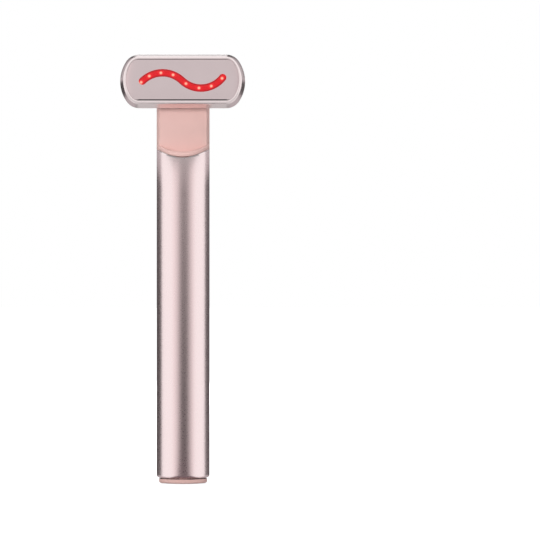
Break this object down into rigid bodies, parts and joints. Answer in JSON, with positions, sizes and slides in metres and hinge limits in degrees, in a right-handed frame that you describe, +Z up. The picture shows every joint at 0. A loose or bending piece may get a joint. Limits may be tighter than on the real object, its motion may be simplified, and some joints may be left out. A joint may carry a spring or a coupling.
{
  "type": "heated eye massager wand",
  "caption": "Slim metal tube wand with a swivelling T-shaped head: a satin metal face plate with a wave-shaped red light window, warmed and vibrated, on a flat pink neck.",
  "frame": {"origin": "centre of the end cap's bottom face, on the tube's axis", "axes": "+Z up along the handle, the face plate looks towards -Y, +X to the viewer's right"},
  "size_m": [0.0418, 0.019, 0.144],
  "materials": {
    "rose_tube": "satin anodised",
    "rose_frame": "plated, polished",
    "pink_plastic": "satin moulded",
    "face_metal": "satin blasted",
    "window_red": "translucent",
    "dark_rubber": "matt",
    "white_plastic": "moulded",
    "board": "solder mask",
    "chip_black": "moulded",
    "cell_foil": "foil",
    "steel": "bright",
    "brass": "bright",
    "copper": "enamelled wire",
    "film_amber": "polyimide film",
    "lead_red": "insulation",
    "clear_plastic": "clear",
    "light_chip": "encapsulated"
  },
  "bodies": {
    "handle": {"handle_tube": "rose_tube", "end_cap": "pink_plastic", "end_cap_seal": "dark_rubber", "inner_chassis": "white_plastic", "chassis_screws": "steel", "main_board": "board", "board_components": "chip_black", "usb_socket": "steel", "usb_tongue": "chip_black", "battery": "cell_foil", "battery_pad": "dark_rubber", "battery_leads": "lead_red", "motor_can": "steel", "motor_end_cap": "white_plastic", "motor_magnet": "steel", "motor_boot": "dark_rubber", "motor_leads": "lead_red", "contact_spring": "brass", "neck_housing": "pink_plastic", "neck_rear_cover": "pink_plastic", "switch_body": "steel", "status_led": "light_chip", "status_light_pipe": "clear_plastic", "swivel_washer": "white_plastic", "thrust_washer": "steel", "handle_leads": "lead_red"},
    "head": {"head_bezel": "rose_frame", "head_rear_shell": "rose_frame", "face_plate": "face_metal", "plate_gasket": "dark_rubber", "light_window": "window_red", "light_board": "board", "light_emitters": "light_chip", "heater_film": "film_amber", "thermistor": "chip_black", "swivel_post": "steel", "post_screws": "steel", "light_board_screws": "steel", "stop_pin": "steel", "retaining_clip": "steel", "wave_washer": "steel", "head_leads": "lead_red"},
    "power_button": {"power_button": "pink_plastic", "switch_plunger": "chip_black"},
    "motor_rotor": {"motor_shaft": "steel", "motor_coil": "copper", "eccentric_weight": "brass"}
  },
  "joints": [
    {"name": "head_swivel", "type": "hinge", "parent": "handle", "child": "head", "pos_m": [0, -0.0033, 0.135], "axis": [0, 1, 0], "range_deg": [-90, 90]},
    {"name": "power_press", "type": "slide", "parent": "handle", "child": "power_button", "axis": [0, -1, 0], "range_m": [0, 0.0004], "stiffness_N_per_m": 1500, "springref_m": -0.0004},
    {"name": "motor_spin", "type": "hinge", "parent": "handle", "child": "motor_rotor", "pos_m": [0, -0.00285, 0.09], "axis": [0, 0, 1], "continuous": true}
  ]
}
